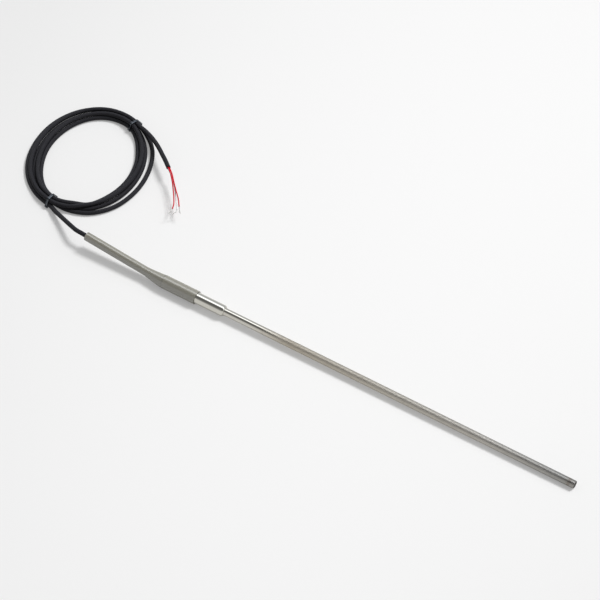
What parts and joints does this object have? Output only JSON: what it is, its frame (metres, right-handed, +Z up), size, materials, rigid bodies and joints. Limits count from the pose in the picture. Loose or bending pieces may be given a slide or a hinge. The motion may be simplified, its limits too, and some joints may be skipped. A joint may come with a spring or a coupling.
{
  "type": "resistance temperature probe with cable",
  "caption": "Straight round-tipped steel temperature probe with a polished transition sleeve, a grey heat-shrink boot and a tied coil of black cable with stripped red and white cores.",
  "frame": {"origin": "centre of the rigid probe's outline (sheath, sleeve and boot, cable left out) at the level of the floor it lies on", "axes": "+X along the sheath towards its tip, +Y to the side the cable coil lies on, +Z up"},
  "size_m": [0.6834, 0.1791, 0.0197],
  "materials": {
    "sheath_steel": "polished, fine lengthwise haze",
    "sleeve_steel": "mirror polished steel",
    "ceramic": "fired ceramic",
    "oxide_fill": "packed oxide powder",
    "lead_alloy": "bare noble-metal lead",
    "crimp_metal": "tinned crimp",
    "conductor_metal": "tinned copper strands",
    "red_insulation": "smooth",
    "white_insulation": "smooth",
    "splice_plastic": "satin",
    "potting_resin": "cast resin",
    "cable_jacket": "satin jacket",
    "hot_melt": "hot-melt glue",
    "boot_plastic": "satin shrink tube",
    "tie_plastic": "moulded nylon"
  },
  "bodies": {
    "root": {"sheath_tube": "sheath_steel", "end_plug": "sheath_steel", "rtd_element": "ceramic", "element_lead_red": "lead_alloy", "element_lead_white": "lead_alloy", "lead_crimp_red": "crimp_metal", "lead_crimp_white": "crimp_metal", "thermal_fill": "oxide_fill", "inner_wire_red_1": "red_insulation", "inner_wire_red_2": "red_insulation", "inner_wire_white": "white_insulation", "inner_conductor_red_1": "conductor_metal", "inner_conductor_red_2": "conductor_metal", "inner_conductor_white": "conductor_metal", "splice_crimp_red_1": "crimp_metal", "splice_crimp_red_2": "crimp_metal", "splice_crimp_white": "crimp_metal", "splice_cover_red_1": "splice_plastic", "splice_cover_red_2": "splice_plastic", "splice_cover_white": "splice_plastic", "entry_core_red_1": "red_insulation", "entry_core_red_2": "red_insulation", "entry_core_white": "white_insulation", "entry_conductor_red_1": "conductor_metal", "entry_conductor_red_2": "conductor_metal", "entry_conductor_white": "conductor_metal", "transition_sleeve": "sleeve_steel", "potting": "potting_resin", "cable_entry": "cable_jacket", "adhesive_liner": "hot_melt", "heat_shrink_boot": "boot_plastic", "cable_lead": "cable_jacket", "cable_coil": "cable_jacket", "cable_tail": "cable_jacket", "cable_tie_lower": "tie_plastic", "cable_tie_upper": "tie_plastic", "core_red_left": "red_insulation", "core_red_right": "red_insulation", "core_white": "white_insulation", "strands_red_left": "conductor_metal", "strands_red_right": "conductor_metal", "strands_white": "conductor_metal"}
  },
  "joints": []
}
